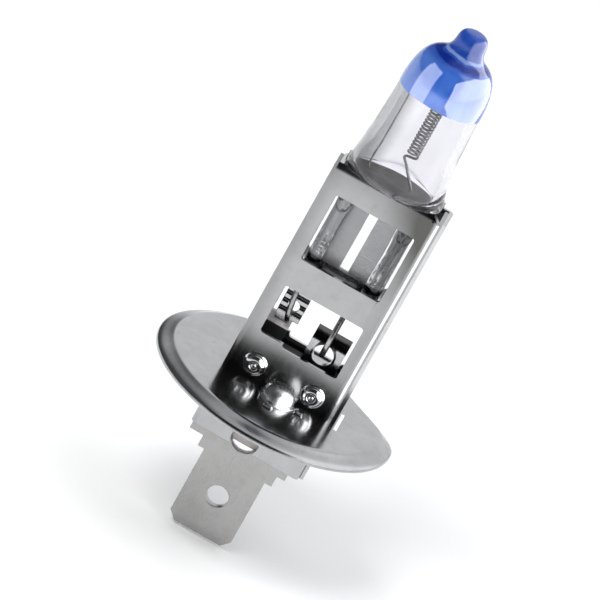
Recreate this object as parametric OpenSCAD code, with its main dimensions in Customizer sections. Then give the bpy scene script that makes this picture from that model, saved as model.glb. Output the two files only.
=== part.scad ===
// Single-filament halogen headlight bulb with a prefocus flange and one blade terminal.
// Origin: bulb axis on the top face of the flange (the reference plane). +Z runs to the glass tip,
// -Y is the side with the flange's braze bead, +X is the side where the rear shell wraps outside.

/* [Flange] */
// Outer diameter of the round flange
flange_d = 23.2; // [22.8:0.1:23.8]
// Sheet thickness of the flange
flange_t = 0.5; // [0.4:0.05:0.6]
// Depth from the top face to the bottom of the rolled rim
flange_depth = 1.1; // [1.1:0.1:1.4]
// Distance of the flat side of the flange from the axis
chord_r = 8.5; // [8.2:0.1:9]
// Direction of the flat side, counted from +X towards +Y
chord_az = 50; // [45:1:55]

/* [Shell] */
// Outer width of one shell half
shell_w = 10.75; // [10.7:0.05:10.9]
// Outer depth of the closed shell, front face to back face
shell_d = 4.4; // [4.3:0.1:4.6]
// Height of the shell above the flange
shell_h = 21.2; // [21:0.1:21.5]
// Sheet thickness of the shell halves
sheet_t = 0.35; // [0.3:0.05:0.4]
// Width of the two windows
window_w = 7.84; // [7.4:0.02:7.9]

/* [Terminal] */
// Width of the blade
blade_w = 6.1; // [6:0.05:6.3]
// Thickness of the blade
blade_t = 0.8; // [0.75:0.05:0.85]
// Lowest point of the blade below the flange top
blade_drop = 15.8; // [15.5:0.1:16.2]
// Diameter of the latch hole in the blade
blade_hole_d = 2.05; // [1.8:0.05:2.3]

/* [Glass] */
// Outer diameter of the glass tube at mid height
tube_d = 8.0; // [7.9:0.05:8.1]
// Wall thickness of the glass tube
glass_t = 0.8; // [0.7:0.05:0.9]
// Height of the glass tip above the flange top
tip_z = 37.7; // [37.6:0.1:38]
// Lower edge of the blue coating
coat_z = 30.7; // [30.3:0.1:31.1]

/* [Filament] */
// Light centre: lower end of the coil above the flange top
coil_z = 25; // [24.8:0.1:25.2]
// Length of the coil
coil_len = 5; // [4.8:0.1:5.2]
// Mean diameter of the coil
coil_d = 1.05; // [1:0.05:1.15]
// Diameter of the tungsten wire
wire_d = 0.2; // [0.16:0.02:0.22]

/* [Hidden] */

nickel = [0.74, 0.75, 0.77];
nickel_dark = [0.62, 0.63, 0.65];
steatite = [0.93, 0.90, 0.90];
tungsten = [0.35, 0.35, 0.37];
molybdenum = [0.52, 0.53, 0.56];
$fn = 48;
eps = 0.05;

flange_r = flange_d / 2;
rim_h = 0.95;                        // height over which the rim rolls down
rim_w = 2.2;                         // width of the roll on the round side
flat_rim_w = 1.2;                    // width of the roll on the flat side
front_x = 0.185;                     // middle of the front half, of the windows and of the glass seal
bend_r = 0.5;                        // outer bend radius of the shell halves
wall_d = 3.7;                        // length of the side walls of a shell half
front_y = -shell_d / 2;              // front face of the closed shell
inner_y = shell_d / 2 - sheet_t;     // inner faces of the two wide sheets
nest = sheet_t;                      // the rear half sits this far towards +X
cav_l = front_x - shell_w / 2 + sheet_t * 2;    // left end of the space inside the shell
cav_r = front_x + shell_w / 2 - sheet_t;        // right end of that space
collar_h = 2.2;                      // height of the flange's drawn collar
collar_t = 0.4;                      // its sheet
fit = 0.02;                          // assembly gap round the collar's corners
slot_y = [-3.1, 1.8];                // relief slot beside the rear half's outer wall, from and to
slot_w = 0.4;
nib_h = 0.3;                         // height of the two stake nibs beside the bead
bead_r = 1.62;                       // braze bead at the foot of the front face
bead_x = 0.45;
dimple_r = 0.95;                     // projection weld dimples
dimple_h = 0.5;
dimple_x = 2.87;                     // left and right of the middle of the half
dimple_z = 1.33;

win_low = [3.85, 9.3];               // lower window, from and to
win_step_z = 4.3;                    // its sill left of the step
win_step_x = -1.4;                   // where the sill steps down
win_up = [12.15, 19.05];             // upper window, from and to
win_r = 0.3;                         // corner radius of the windows
rear_drop = 0.4;                     // the rear windows sit this much lower than the front ones
lip_l = 4.9;                         // left and right reach of the front half's top lip
lip_r = 4.6;
lip_rise = [0.4, 0.57];              // how far the lip leans in and rises

clip_top = -1.3;                     // terminal clip, upper and lower edge
clip_bottom = -6.4;
link_hole_r = 1.3;                   // round hole over the clip's lower edge
link_hole = [-0.14, -5.55];          // its x and z
neck_z = -8.3;                       // where the blade's shoulders end
root_z = -7.2;                       // lower edge of the blade's root
root_l = -4.97;                      // left end of the blade's root below the clip
root_r = 4.6;
shoulder = 0.65;                     // each shoulder sticks out this far beside the blade
blade_x = 0.12;                      // middle of the blade
blade_top = -2.4;                    // upper end of the root inside the clip
blade_hole_up = 4.15;                // height of the latch hole above the blade's end

pinch_w = 7.36;                      // flat seal of the glass: width, thickness, from and to
pinch_t = 2.4;
pinch_z = [10.9, 18.6];
neck_w = 8.9;                        // width of the seal's shoulders
rib_w = 1.1;                         // edge ribs of the seal
rib_t = 3.0;
foil_x = 1.39;                       // middle of each foil
foil_w = 1.92;
foil_t = 0.08;
foil_z = [12.3, 19.6];               // from and to
lead_r = 0.27;                       // outer leads, left and right of the axis
lead_x = 2.0;
inner_r = 0.13;                      // inner leads, likewise
inner_x = 1.8;
inner_top = 22.7;                    // where the inner leads leave their straight stretch
cavity_z = 22.3;                     // floor of the gas space
fan_z = 21.8;                        // where the flat shoulders meet the tube's round bottom
bowl_z = 22.25;                      // where the bottom's slope meets the tube
film_t = 0.06;                       // blue coating
coil_x = 0.3;                        // middle of the coil
coil_turns = 15;
insulator_top = 2.9;
seat_z = [4.8, 5.3];                 // insulator's raised seat: front edge and back edge
seat_r = -1.68;                      // its right end
strip_l = -3.4;                      // live strip, left and right edge of its head
strip_r = -1.15;
strip_y = [0.4, 0.8];                // its front and back face
stem_l = -3.3;                       // its stem, left edge and width
stem_w = 1.35;
head_z = [6.0, 8.7];                 // its joggled head, from and to
joggle = 0.35;                       // the head stands this far in front of the stem
strip_hole = [-2.25, 6.95];          // x and z of the hole in the head
strip_hole_r = 0.55;
tab_l = 0.5;                         // ground tab, left and right edge
tab_r = 3.83;
tab_y = -0.75;                       // front face of its hanging plate
tab_top = 6.35;                      // upper edge of its hanging plate
tab_t = 0.35;                        // its sheet
tab_lip = 2.2;                       // depth of its top lip
tab_base = 2.95;                     // underside of its base plate
tab_hole = [2.1, 4.69];              // x and z of the hole in the ground tab
tab_hole_r = 0.98;

// ---------- helpers ----------

function unit(v) = v / norm(v);
function bezier(p, t) = pow(1 - t, 3) * p[0] + 3 * t * pow(1 - t, 2) * p[1]
                        + 3 * t * t * (1 - t) * p[2] + pow(t, 3) * p[3];
function bezier_line(p, n) = [for (i = [0:n]) bezier(p, i / n)];

// Rectangle from corner a to corner b with round corners
module rounded_rect(a, b, r) {
    translate([a[0] + r, a[1]]) square([b[0] - a[0] - 2 * r, b[1] - a[1]]);
    translate([a[0], a[1] + r]) square([b[0] - a[0], b[1] - a[1] - 2 * r]);
    for (x = [a[0] + r, b[0] - r], y = [a[1] + r, b[1] - r]) translate([x, y]) circle(r);
}

// Cut through the XZ plane: the 2D child is drawn in X and Z and runs from y0 to y1
module through_y(y0, y1) {
    translate([0, y1, 0]) rotate([90, 0, 0]) linear_extrude(y1 - y0) children();
}

// Round wire along a list of points; ref is any direction that the wire never runs along
module wire(points, r, ref = [0, 1, 0], sides = 10) {
    n = len(points);
    function dir(i) = unit(points[min(i + 1, n - 1)] - points[max(i - 1, 0)]);
    rings = [for (i = [0:n - 1])
        let (t = dir(i), u = unit(cross(ref, t)), v = cross(t, u))
        for (k = [0:sides - 1])
            points[i] + r * (u * cos(360 * k / sides) + v * sin(360 * k / sides))];
    walls = [for (i = [0:n - 2], k = [0:sides - 1])
        let (a = i * sides + k, b = i * sides + (k + 1) % sides)
        each [[a, b, b + sides], [a, b + sides, a + sides]]];
    first = [[for (k = [sides - 1:-1:0]) k]];
    last = [[for (k = [0:sides - 1]) (n - 1) * sides + k]];
    polyhedron(points = rings, faces = [for (f = concat(walls, first, last))
        [for (j = [len(f) - 1:-1:0]) f[j]]], convexity = 10);
}

// ---------- flange ----------

// Half section of the flange's outside (inset 0) or inside (inset one sheet thickness)
module rim_section(reach, width, inset, inner = 0) {
    w = width - inset;
    h = rim_h - inset;
    bottom = -flange_depth - (inset > 0 ? 1 : 0);
    roll = [for (a = [0:15:90]) [reach - width + w * sin(a), -rim_h + h * cos(a)]];
    polygon(concat([[inner, bottom], [inner, -inset]], roll, [[reach - inset, bottom]]));
}

module flange_block(inset) {
    intersection() {
        rotate_extrude($fn = 120) rim_section(flange_r, rim_w, inset);
        rotate([0, 0, chord_az]) through_y(-20, 20) rim_section(chord_r, flat_rim_w, inset, -20);
    }
}

module collar_plan(inset) {
    r = bend_r - sheet_t + fit + 0.1;
    rounded_rect([cav_l + inset, -inner_y + inset], [cav_r - inset, inner_y - inset], r);
}

module flange_disc() {
    color(nickel) {
        difference() {
            union() {
                difference() {
                    flange_block(0);
                    flange_block(flange_t);
                }
                translate([0, 0, -flange_t]) linear_extrude(flange_t + collar_h) collar_plan(fit);
                // two small stake nibs beside the bead
                translate([0, 0, -nib_h]) linear_extrude(2 * nib_h) {
                    rounded_rect([-0.4, -6.3], [0.6, -5.6], 0.15);
                    rounded_rect([2.3, -4.4], [3.2, -3.5], 0.15);
                }
            }
            translate([0, 0, -5]) linear_extrude(10) collar_plan(fit + collar_t);
            // relief slot beside the rear shell's outer wall
            translate([front_x + shell_w / 2 + nest + 0.1, slot_y[0], -1])
                cube([slot_w, slot_y[1] - slot_y[0], 2]);
        }
    }
}

module braze_bead() {
    color(nickel) intersection() {
        translate([bead_x, front_y - bead_r + 0.02, 0]) sphere(bead_r);
        translate([-5, -10, 0]) cube([10, 10 + front_y, 5]);
    }
}

// ---------- shell ----------

// Plan of a bent channel: web at y = 0, side walls towards +Y
module channel_plan(w, d) {
    module blank(w, d, r) {
        translate([-w / 2, r]) square([w, d - r]);
        translate([-w / 2 + r, 0]) square([w - 2 * r, d]);
        for (s = [-1, 1]) translate([s * (w / 2 - r), r]) circle(r);
    }
    difference() {
        blank(w, d, bend_r);
        translate([0, sheet_t]) blank(w - 2 * sheet_t, d, bend_r - sheet_t);
    }
}

module front_channel(z0, z1) {
    translate([front_x, front_y, z0]) linear_extrude(z1 - z0) channel_plan(shell_w, wall_d);
}

module rear_channel(z0, z1) {
    translate([front_x + nest, -front_y, z0]) rotate([0, 0, 180])
        linear_extrude(z1 - z0) channel_plan(shell_w, wall_d);
}

// Both windows of a half, drawn in X and Z
module window_shapes() {
    left = front_x - window_w / 2;
    right = front_x + window_w / 2;
    rounded_rect([left, win_up[0]], [right, win_up[1]], win_r);
    rounded_rect([left, win_step_z], [right, win_low[1]], win_r);
    rounded_rect([win_step_x, win_low[0]], [right, win_step_z + 3 * win_r], win_r);
}

// Sloping lip that closes the top of a wide face towards the glass; drawn for the front half
module top_lip() {
    translate([-lip_l, front_y, shell_h]) rotate([90, 0, 90]) linear_extrude(lip_l + lip_r)
        polygon([[0, -0.11], [0, 0], lip_rise, lip_rise + sheet_t * [0.82, -0.57], [sheet_t, -0.11]]);
}

// Lip at the top of a side wall, folded in over the shoulder of the glass
module corner_lip() {
    z0 = shell_h - 0.7;
    outer = front_x + shell_w / 2 - sheet_t / 2;
    translate([0, 0, z0]) linear_extrude(shell_h - z0)
        polygon([[outer, front_y + bend_r], [outer - 0.35, front_y + bend_r - 0.1],
                 [outer - 0.9, -0.45], [outer - 0.65, -0.35]]);
}

module front_shell() {
    color(nickel) {
        difference() {
            front_channel(0, shell_h);
            through_y(front_y - 1, front_y + sheet_t + 0.1) window_shapes();
        }
        corner_lip();
        top_lip();
    }
}

module rear_shell() {
    color(nickel) {
        difference() {
            rear_channel(0, shell_h);
            through_y(inner_y - 0.1, inner_y + sheet_t + 1)
                translate([0, -rear_drop]) window_shapes();
        }
        rotate([0, 0, 180]) top_lip();
    }
}

// Projection weld: a low dome with a pip in a ring groove
module weld_dimple() {
    ball_r = (dimple_r * dimple_r + dimple_h * dimple_h) / (2 * dimple_h);
    rotate([90, 0, 0]) difference() {
        intersection() {
            translate([0, 0, dimple_h - ball_r]) sphere(ball_r);
            cylinder(r = dimple_r, h = dimple_h + 1);
        }
        translate([0, 0, dimple_h]) rotate_extrude($fn = 32) translate([0.3, 0]) circle(0.1, $fn = 16);
    }
}

module front_weld_dimples() {
    color(nickel) for (s = [-1, 1]) translate([front_x + s * dimple_x, front_y, dimple_z]) weld_dimple();
}

module rear_weld_dimples() {
    color(nickel) for (s = [-1, 1])
        translate([front_x + nest + s * dimple_x, -front_y, dimple_z])
            rotate([0, 0, 180]) weld_dimple();
}

// ---------- insulator and terminal ----------

// Live strip: stem through the insulator with a foot that meets the blade, and the head above it
module live_strip_body(with_head = true) {
    front = strip_y[0];
    t = strip_y[1] - front;
    stem_top = 5.6;
    translate([stem_l, front, clip_bottom]) cube([stem_w, t, stem_top - clip_bottom]);
    translate([stem_l, blade_t - inner_y, clip_bottom - t])
        cube([stem_w, strip_y[1] + inner_y - blade_t, t]);
    if (with_head) {
        translate([strip_l, front, stem_top - 0.15]) cube([strip_r - strip_l, t, head_z[0] + 0.35 - stem_top]);
        difference() {
            translate([strip_l, front - joggle, head_z[0]]) {
                cube([strip_r - strip_l, t + joggle, 0.3]);
                cube([strip_r - strip_l, t, head_z[1] - head_z[0]]);
            }
            through_y(front - joggle - 1, front + 1) translate(strip_hole) circle(strip_hole_r, $fn = 32);
        }
    }
}

module live_strip() {
    color(nickel) live_strip_body();
}

module ceramic_insulator() {
    wall = collar_t + 2 * fit;
    corner = 0.4;
    color(steatite) difference() {
        union() {
            // body that passes the collar, and its wider lower part inside the clip
            translate([0, 0, clip_bottom]) linear_extrude(insulator_top - clip_bottom)
                rounded_rect([cav_l + wall, -inner_y + wall], [cav_r - wall, inner_y - wall], corner);
            translate([0, 0, clip_bottom]) linear_extrude(-flange_t - 0.1 - clip_bottom)
                rounded_rect([cav_l, -inner_y], [cav_r, inner_y], corner);
            // raised seat of the live strip, sloping down to the front
            translate([cav_l + wall, 0, 0]) rotate([90, 0, 90]) linear_extrude(seat_r - cav_l - wall)
                polygon([[0, insulator_top - 0.1], [0, seat_z[0]], [0.85, seat_z[1]],
                         [inner_y - wall, seat_z[1]], [inner_y - wall, insulator_top - 0.1]]);
        }
        // recess for the blade's root, and the slot of the live strip
        translate([-6, -inner_y - 1, clip_bottom - 1]) cube([12, blade_t + 1, 5.1]);
        live_strip_body(with_head = false);
    }
}

module terminal_clip_front() {
    color(nickel) difference() {
        front_channel(clip_bottom, clip_top);
        through_y(front_y - 1, 0) translate(link_hole) circle(link_hole_r);
    }
}

module terminal_clip_rear() {
    color(nickel) rear_channel(clip_bottom, clip_top);
}

// Outline of the blade in X and Z: root, neck and blade with chamfered end corners
module blade_outline() {
    b = blade_w / 2;
    c = 0.9;
    below = clip_bottom - 0.05;
    polygon([[cav_l + 0.1, blade_top], [cav_l + 0.1, below], [root_l, below], [root_l, root_z],
             [blade_x - b - shoulder, root_z], [blade_x - b - shoulder, neck_z], [blade_x - b, neck_z],
             [blade_x - b, -blade_drop + c], [blade_x - b + 0.8 * c, -blade_drop],
             [blade_x + b - 0.8 * c, -blade_drop], [blade_x + b, -blade_drop + c],
             [blade_x + b, neck_z], [blade_x + b + shoulder, neck_z], [blade_x + b + shoulder, root_z],
             [root_r, root_z], [root_r, below], [cav_r - 0.1, below], [cav_r - 0.1, blade_top]]);
}

module blade_terminal() {
    lead_in = 0.85;
    bevel = 0.22;
    color(nickel_dark) difference() {
        translate([0, -inner_y, 0]) through_y(0, blade_t) blade_outline();
        translate([link_hole[0], 0, link_hole[1]]) rotate([90, 0, 0])
            cylinder(r = link_hole_r, h = 10, center = true);
        translate([blade_x, 0, -blade_drop + blade_hole_up]) rotate([90, 0, 0])
            cylinder(d = blade_hole_d, h = 10, center = true);
        // bevels on both faces of the end
        for (side = [0, 1]) translate([0, -inner_y + side * blade_t, -blade_drop])
            mirror([0, side, 0]) rotate([90, 0, 90]) linear_extrude(20, center = true)
                polygon([[-1, -1], [bevel, -1], [bevel, 0], [0, lead_in], [-1, lead_in]]);
    }
}

// ---------- parts inside the shell ----------

// Bent bracket: foot on the rear shell's web below its window, base plate, hanging plate, top lip
module ground_tab() {
    w = tab_r - tab_l;
    foot_top = win_low[0] - rear_drop - 0.05;
    color(nickel) difference() {
        union() {
            translate([tab_l, inner_y - tab_t, tab_base]) cube([w, tab_t, foot_top - tab_base]);
            translate([tab_l, tab_y, tab_base]) cube([w, inner_y - tab_y, tab_t]);
            translate([tab_l, tab_y, tab_base]) cube([w, tab_t, tab_top - tab_base]);
            translate([tab_l, tab_y, tab_top - tab_t]) cube([w, tab_lip, tab_t]);
        }
        through_y(tab_y - 1, tab_y + tab_t + 0.1) translate(tab_hole) circle(tab_hole_r);
    }
}

// Outer leads from the seal to the strip on the left and to the tab on the right
left_lead_path = [[-lead_x, 0, 11.05], [-lead_x, 0, 10.75], [-2.15, 0, 10.2], [-2.5, 0, 9.5],
                  [-2.65, -0.08, 8.7], [-2.55, -0.2, 7.6], [-2.35, -0.27, 6.3], [-2.15, -0.27, 5.6]];
right_lead_path = [[lead_x, 0, 11.05], [lead_x, 0, 10.75], [lead_x, -0.05, 9.8], [lead_x, -0.3, 8.6],
                   [lead_x, -0.75, 7.4], [lead_x, -1.07, 6.5], [lead_x, -1.08, 5.6], [lead_x, -1.08, 4.6]];

module outer_lead(side, path) {
    color(tungsten) {
        translate([side * lead_x, 0, path[0][2] - eps])
            cylinder(r = lead_r, h = foil_z[0] - path[0][2] + eps, $fn = 24);
        wire(path, lead_r * 0.99, ref = [1, 0.2, 0], sides = 12);
    }
}

module left_outer_lead() { outer_lead(-1, left_lead_path); }
module right_outer_lead() { outer_lead(1, right_lead_path); }

module foil(side) {
    translate([side * foil_x - foil_w / 2, -foil_t / 2, foil_z[0]])
        cube([foil_w, foil_t, foil_z[1] - foil_z[0]]);
}

module left_foil() { color(molybdenum) foil(-1); }
module right_foil() { color(molybdenum) foil(1); }

// ---------- glass ----------

// Outer half profile of the tube above its bowl, as radius and height
function tube_line() = concat(
    bezier_line([[tube_d / 2 + 0.3, bowl_z], [tube_d / 2 + 0.15, 25], [tube_d / 2 - 0.05, 28],
                 [tube_d / 2 - 0.15, 30.2]], 8),
    bezier_line([[tube_d / 2 - 0.2, 32.2], [tube_d / 2 - 0.55, tip_z - 3.0],
                 [1.75, tip_z - 2.7], [1.4, tip_z - 1.5]], 14),
    bezier_line([[1.36, tip_z - 0.9], [1.3, tip_z - 0.35], [0.8, tip_z], [0, tip_z]], 8));

module tube_outside(grow = 0, from = bowl_z) {
    line = tube_line();
    rotate_extrude($fn = 64) intersection() {
        polygon(concat([[0, line[0][1]]],
            [for (p = line) [p[0] == 0 ? 0 : p[0] + grow, p[1] + (p[0] == 0 ? grow : 0)]]));
        translate([0, from]) square([20, 60]);
    }
}

// Gas space: follows the outside at one wall thickness, with a flat floor and a round top
module gas_space() {
    r = tube_d / 2 - glass_t;
    foot_r = r + 0.6;
    rotate_extrude($fn = 64) polygon(concat(
        [[0, cavity_z], [foot_r, cavity_z]],
        bezier_line([[foot_r, cavity_z + 0.4], [r + 0.25, cavity_z + 1.5], [r, cavity_z + 2.5],
                     [r, cavity_z + 3.5]], 6),
        bezier_line([[r - 0.15, 31.8], [r - 0.4, tip_z - 3.7],
                     [1.4, tip_z - 3.5], [0, tip_z - 3.0]], 10)));
}

module pinch_slice(w, t, z) {
    translate([front_x, 0, z]) linear_extrude(0.02) rounded_rect([-w / 2, -t / 2], [w / 2, t / 2], 0.9);
}

module glass_envelope() {
    $fn = 32;
    color([0.85, 0.88, 0.95, 0.35]) difference() {
        union() {
            tube_outside();
            // flat seal with its two thicker edge ribs
            translate([front_x, 0, pinch_z[0]]) linear_extrude(pinch_z[1] + 0.3 - pinch_z[0]) {
                square([pinch_w - 1, pinch_t], center = true);
                for (s = [-1, 1])
                    translate([s * (pinch_w - rib_w) / 2 - rib_w / 2, -rib_t / 2])
                        rounded_rect([0, 0], [rib_w, rib_t], 0.5);
            }
            // shoulders
            hull() {
                pinch_slice(pinch_w, 2.6, pinch_z[1]);
                pinch_slice(neck_w, 2.6, fan_z);
            }
            hull() {
                pinch_slice(neck_w, 2.6, fan_z);
                translate([0, 0, bowl_z]) cylinder(r = tube_d / 2 + 0.3, h = 0.1);
            }
        }
        gas_space();
        for (s = [-1, 1]) {
            foil(s);
            translate([s * lead_x, 0, pinch_z[0] - 1])
                cylinder(r = lead_r, h = foil_z[0] - pinch_z[0] + 1, $fn = 24);
            translate([s * inner_x, 0, foil_z[1]])
                cylinder(r = inner_r, h = 4, $fn = 16);
        }
    }
}

module blue_coating() {
    color([0.16, 0.37, 0.85, 0.75]) difference() {
        tube_outside(film_t, coat_z);
        tube_outside(0, coat_z - 1);
    }
}

// ---------- filament and inner leads ----------

module filament() {
    steps = 14;
    n = coil_turns * steps;
    path = [for (i = [0:n])
        let (a = 360 * i / steps)
        [coil_x + coil_d / 2 * cos(a), coil_d / 2 * sin(a), coil_z + coil_len * i / n]];
    color(tungsten) wire(path, wire_d / 2, ref = [0, 0, 1], sides = 6);
}

module inner_lead(side, path, ref) {
    color(tungsten) {
        translate([side * inner_x, 0, foil_z[1]])
            cylinder(r = inner_r, h = inner_top + eps - foil_z[1], $fn = 16);
        wire(path, inner_r * 0.97, ref = ref, sides = 8);
    }
}

// Short lead: up to a small hook at the left of the coil, then across to the first turn
module short_inner_lead() {
    foot = [inner_x, 0, inner_top];
    hook = [coil_x - 0.75, -0.1, 24.3];
    start = [coil_x + coil_d / 2, -0.01, coil_z];
    path = concat(
        bezier_line([foot, foot + [-0.1, 0, 0.5], hook + [0.9, 0, -0.6], hook], 10),
        bezier_line([hook + [-0.12, 0, 0.15], hook + [-0.05, 0, 0.5], hook + [1.3, -0.2, 0.3],
                     start - [0, 0.01, 0]], 10));
    inner_lead(1, path, [0, 1, 0]);
}

// Long lead: up beside the coil and over to its last turn
module long_inner_lead() {
    foot = [-inner_x, 0, inner_top];
    bend = foot + [-0.75, 0.3, coil_z + coil_len - inner_top];
    finish = [coil_x + coil_d / 2, 0.02, coil_z + coil_len];
    path = concat(
        bezier_line([foot, foot + [0, 0, 0.8], bend - [0, 0, 5.2], bend - [0, 0, 4]], 8),
        bezier_line([bend, bend + [0, 0, 1.5], finish + [0, 0.4, 1.6], finish], 12));
    inner_lead(-1, path, [0, 1, 0]);
}

flange_disc();
braze_bead();
front_shell();
rear_shell();
front_weld_dimples();
rear_weld_dimples();
ceramic_insulator();
terminal_clip_front();
terminal_clip_rear();
blade_terminal();
live_strip();
ground_tab();
left_outer_lead();
right_outer_lead();
left_foil();
right_foil();
glass_envelope();
blue_coating();
filament();
long_inner_lead();
short_inner_lead();
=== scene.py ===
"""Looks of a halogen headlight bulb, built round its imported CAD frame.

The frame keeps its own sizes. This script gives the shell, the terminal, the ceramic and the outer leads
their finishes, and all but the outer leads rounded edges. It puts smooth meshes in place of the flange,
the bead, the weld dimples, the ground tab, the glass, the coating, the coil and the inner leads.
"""

import math

import bmesh
import bpy
from mathutils import Matrix, Vector


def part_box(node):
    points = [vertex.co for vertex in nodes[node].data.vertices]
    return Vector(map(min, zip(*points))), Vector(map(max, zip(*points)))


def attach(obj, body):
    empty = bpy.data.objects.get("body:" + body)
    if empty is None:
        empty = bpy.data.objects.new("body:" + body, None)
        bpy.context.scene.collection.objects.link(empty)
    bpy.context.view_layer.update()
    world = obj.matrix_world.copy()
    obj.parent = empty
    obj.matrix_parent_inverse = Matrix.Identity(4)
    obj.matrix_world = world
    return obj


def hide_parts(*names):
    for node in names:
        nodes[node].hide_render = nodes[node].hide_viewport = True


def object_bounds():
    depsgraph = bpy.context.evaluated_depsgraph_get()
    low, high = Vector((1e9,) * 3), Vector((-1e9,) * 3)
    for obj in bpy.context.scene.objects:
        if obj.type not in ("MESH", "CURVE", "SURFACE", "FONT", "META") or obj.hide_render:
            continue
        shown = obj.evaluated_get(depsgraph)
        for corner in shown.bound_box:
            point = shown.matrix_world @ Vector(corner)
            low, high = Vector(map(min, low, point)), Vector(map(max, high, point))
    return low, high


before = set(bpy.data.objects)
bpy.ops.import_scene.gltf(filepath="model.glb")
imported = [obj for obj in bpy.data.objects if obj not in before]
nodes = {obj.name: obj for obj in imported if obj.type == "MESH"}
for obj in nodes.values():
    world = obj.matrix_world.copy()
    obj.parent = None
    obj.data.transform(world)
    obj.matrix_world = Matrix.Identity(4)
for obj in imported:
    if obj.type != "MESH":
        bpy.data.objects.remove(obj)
cad_lo, cad_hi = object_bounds()

MM = 0.001                                   # the script's lengths are in millimetres
scene = bpy.context.scene
scene.view_settings.view_transform = "Standard"
scene.view_settings.look = "None"


def box_mm(node):
    """Lowest and highest corner of a CAD node, in millimetres."""
    lo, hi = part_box(node)
    return lo / MM, hi / MM


# ---------- camera, studio and floor ----------

FLANGE_R, CHORD_R, CHORD_AZ = 11.595, 8.495, math.radians(50)

CAM_AZ, CAM_EL, CAM_ROLL = (math.radians(a) for a in (0.5, 23.5, 29.4))
CAM_DISTANCE = 0.9
CAM_SENSOR = 36.0
CAM_LENS = 618.0
AIM_RIGHT, AIM_UP = 1.75 * MM, 7.22 * MM     # picture centre, counted from the bulb's origin


def make_camera():
    """Camera at the photograph's angle, rolled so that the bulb leans to the right."""
    away = Vector((math.sin(CAM_AZ) * math.cos(CAM_EL), -math.cos(CAM_AZ) * math.cos(CAM_EL),
                   math.sin(CAM_EL)))
    level = Vector((math.cos(CAM_AZ), math.sin(CAM_AZ), 0))
    rise = away.cross(level)
    right = level * math.cos(CAM_ROLL) + rise * math.sin(CAM_ROLL)
    up = rise * math.cos(CAM_ROLL) - level * math.sin(CAM_ROLL)
    data = bpy.data.cameras.new("camera")
    data.sensor_width = CAM_SENSOR
    data.lens = CAM_LENS
    data.clip_start, data.clip_end = 0.05, 20
    camera = bpy.data.objects.new("camera", data)
    turn = Matrix((right, up, away)).transposed()
    place = right * AIM_RIGHT + up * AIM_UP + away * CAM_DISTANCE
    camera.matrix_world = Matrix.Translation(place) @ turn.to_4x4()
    scene.collection.objects.link(camera)
    scene.camera = camera


def direction(azimuth, elevation):
    """Unit vector; azimuth 0 is -Y (the front), 90 is +X, elevation above the flange plane."""
    a, e = math.radians(azimuth), math.radians(elevation)
    return Vector((math.sin(a) * math.cos(e), -math.cos(a) * math.cos(e), math.sin(e)))


# Soft boxes and dark cards of the studio: direction, half angle, soft edge (degrees), brightness
STUDIO_BASE = 0.70
STUDIO_CARDS = [
    (direction(85, 25), 50, 25, 1.55),       # bright wall on the right
    (direction(180, 24), 34, 24, 1.00),      # pale wall behind
    (direction(-96, 26), 46, 22, 0.10),      # dark wall on the left
    (direction(-5, 32), 42, 18, 0.03),       # dark gap round the camera
    (direction(-141, 4), 24, 14, 0.10),      # low dark card behind on the left
]
BACKDROP = 1.0                               # what the camera sees above the floor's far edge


def make_world():
    """Studio surroundings seen in the gloss; the camera itself sees only an even backdrop."""
    world = bpy.data.worlds.new("studio")
    scene.world = world
    world.use_nodes = True
    tree = world.node_tree
    tree.nodes.clear()
    place = tree.nodes.new("ShaderNodeTexCoord")
    level = None
    for towards, half, soft, bright in STUDIO_CARDS:
        dot = tree.nodes.new("ShaderNodeVectorMath")
        dot.operation = "DOT_PRODUCT"
        dot.inputs[1].default_value = towards
        tree.links.new(place.outputs["Generated"], dot.inputs[0])
        edge = tree.nodes.new("ShaderNodeMapRange")
        edge.interpolation_type = "SMOOTHSTEP"
        edge.inputs["From Min"].default_value = math.cos(math.radians(half + soft / 2))
        edge.inputs["From Max"].default_value = math.cos(math.radians(max(half - soft / 2, 0)))
        tree.links.new(dot.outputs["Value"], edge.inputs["Value"])
        mix = tree.nodes.new("ShaderNodeMix")
        mix.data_type = "FLOAT"
        tree.links.new(edge.outputs["Result"], mix.inputs["Factor"])
        if level is None:
            mix.inputs["A"].default_value = STUDIO_BASE
        else:
            tree.links.new(level, mix.inputs["A"])
        mix.inputs["B"].default_value = bright
        level = mix.outputs["Result"]
    seen = tree.nodes.new("ShaderNodeBackground")
    seen.inputs["Color"].default_value = (1, 1, 1, 1)
    seen.inputs["Strength"].default_value = BACKDROP
    lit = tree.nodes.new("ShaderNodeBackground")
    lit.inputs["Color"].default_value = (0.975, 0.985, 1.0, 1)
    tree.links.new(level, lit.inputs["Strength"])
    path = tree.nodes.new("ShaderNodeLightPath")
    choose = tree.nodes.new("ShaderNodeMixShader")
    tree.links.new(path.outputs["Is Camera Ray"], choose.inputs["Fac"])
    tree.links.new(lit.outputs["Background"], choose.inputs[1])
    tree.links.new(seen.outputs["Background"], choose.inputs[2])
    out = tree.nodes.new("ShaderNodeOutputWorld")
    tree.links.new(choose.outputs["Shader"], out.inputs["Surface"])


FLOOR_HALF = 2.0
FLOOR_GAP = 0.3 * MM
FLOOR_WHITE = 0.96


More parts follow.
